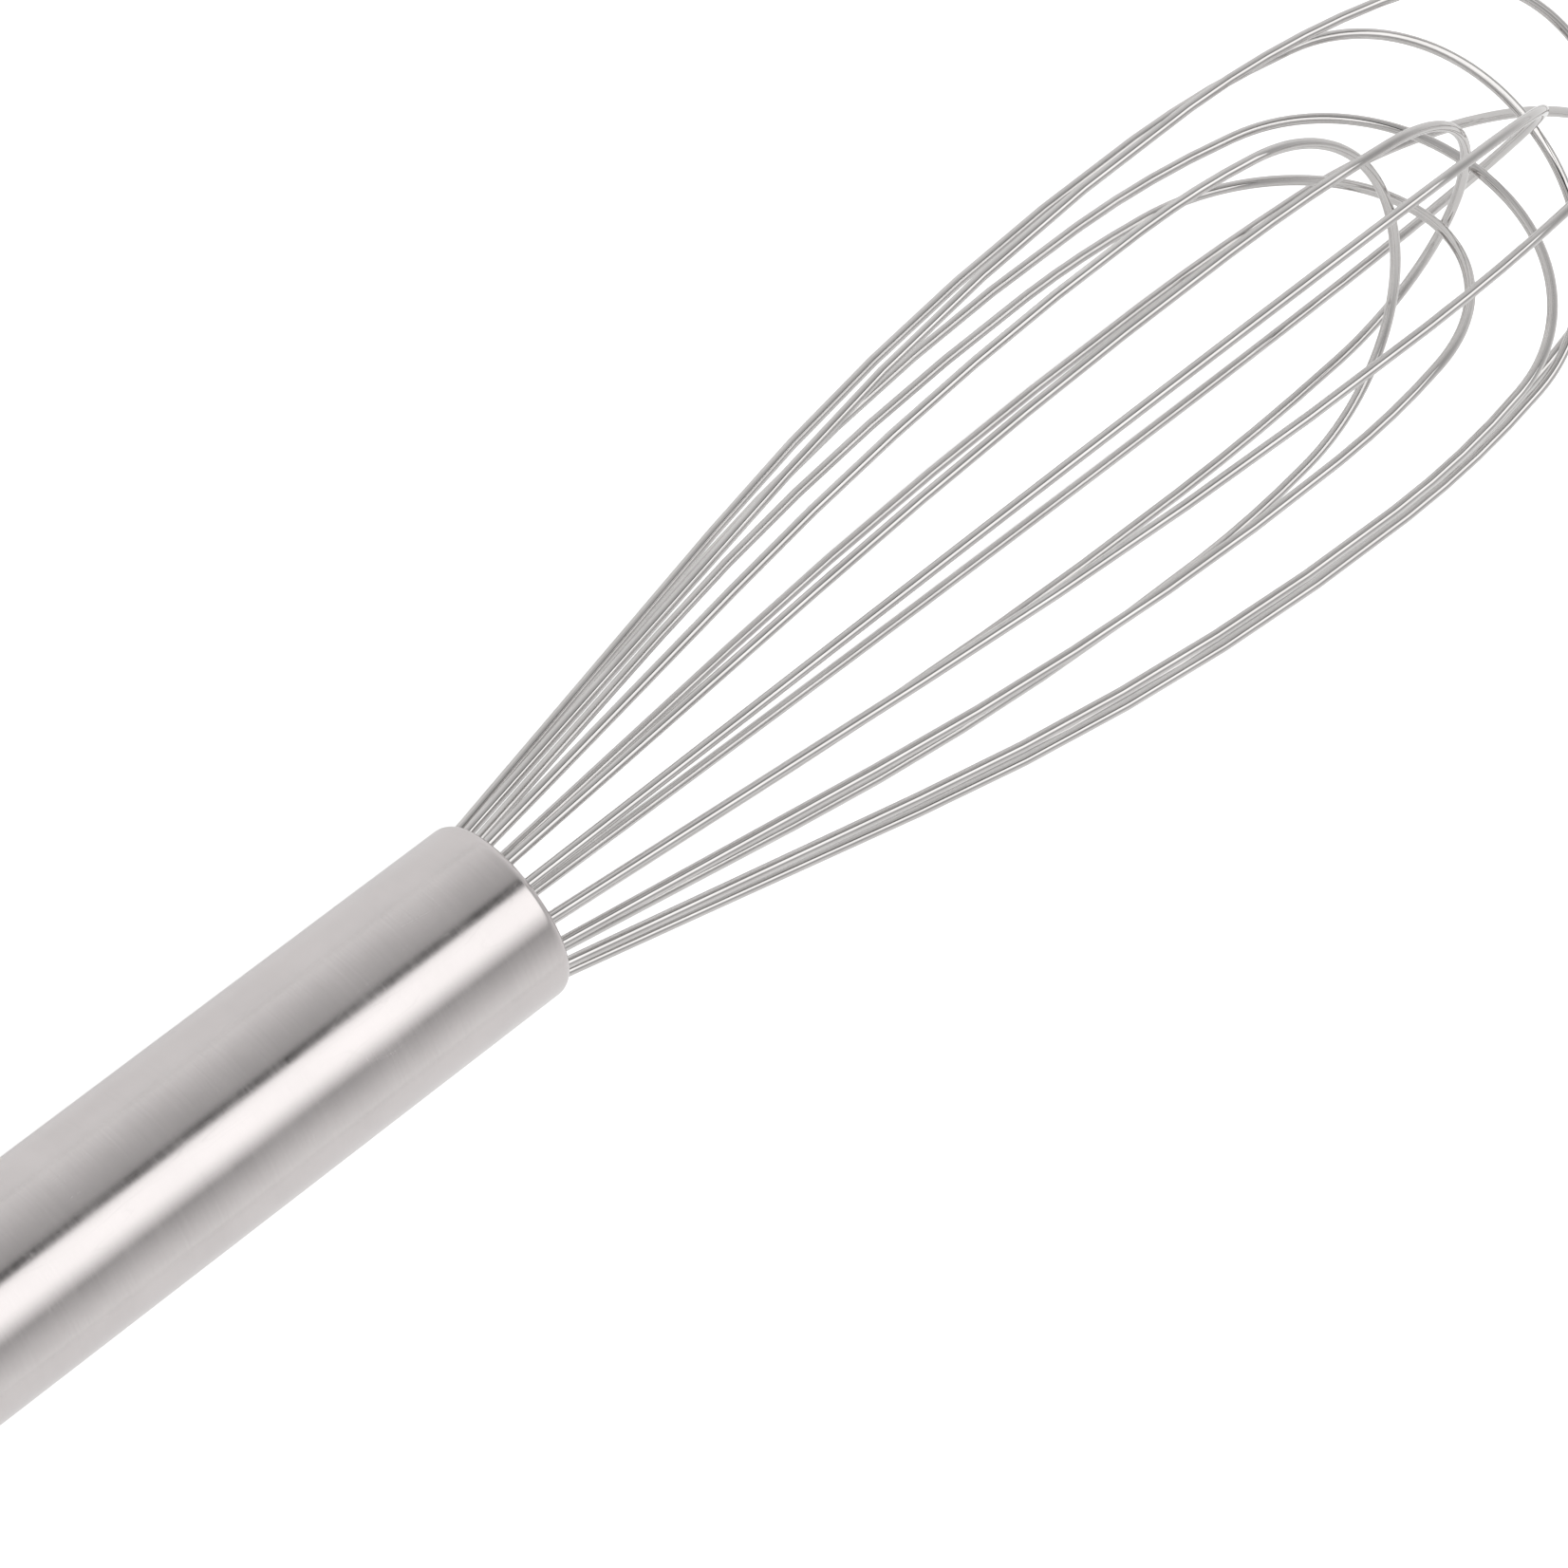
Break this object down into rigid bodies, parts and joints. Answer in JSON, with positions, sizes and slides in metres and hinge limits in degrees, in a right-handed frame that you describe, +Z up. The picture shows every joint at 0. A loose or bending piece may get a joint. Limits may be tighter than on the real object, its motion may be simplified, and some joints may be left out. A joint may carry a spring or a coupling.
{
  "type": "balloon whisk",
  "caption": "Hand balloon whisk in stainless steel: nested spring-wire loops in a sealed tube handle with a swinging hanging ring.",
  "frame": {"origin": "bottom centre of the whole whisk as it lies on a level table, ring straight back", "axes": "+X along the whisk from the hanging ring towards the balloon, +Z up; the whisk's own axis rises 3.86 degrees towards the balloon because the balloon is fatter than the handle"},
  "size_m": [0.328, 0.0559, 0.054],
  "materials": {
    "handle_steel": "satin, fine grain along the tube",
    "wire_steel": "bright drawn stainless spring wire",
    "bright_steel": "polished stainless wire and turned stainless",
    "plain_steel": "plain stainless, as machined",
    "resin": "cast food-safe epoxy"
  },
  "bodies": {
    "whisk": {"handle_tube": "handle_steel", "rear_cap": "handle_steel", "mouth_plug": "plain_steel", "sealing_resin": "resin", "anchor_disc": "plain_steel", "wire_loop_1": "wire_steel", "wire_loop_2": "wire_steel", "wire_loop_3": "wire_steel", "wire_loop_4": "wire_steel", "wire_loop_5": "wire_steel", "wire_loop_6": "wire_steel", "wire_loop_7": "wire_steel", "wire_loop_8": "wire_steel", "hang_eye": "bright_steel", "eye_washer": "plain_steel", "eye_nut": "plain_steel"},
    "ring": {"hanging_ring": "bright_steel"}
  },
  "joints": [
    {"name": "ring_swing", "type": "hinge", "parent": "whisk", "child": "ring", "pos_m": [-0.14624, 0, 0.01021], "axis": [-0.0673, 0, 0.9977], "range_deg": [-120, 120]}
  ]
}
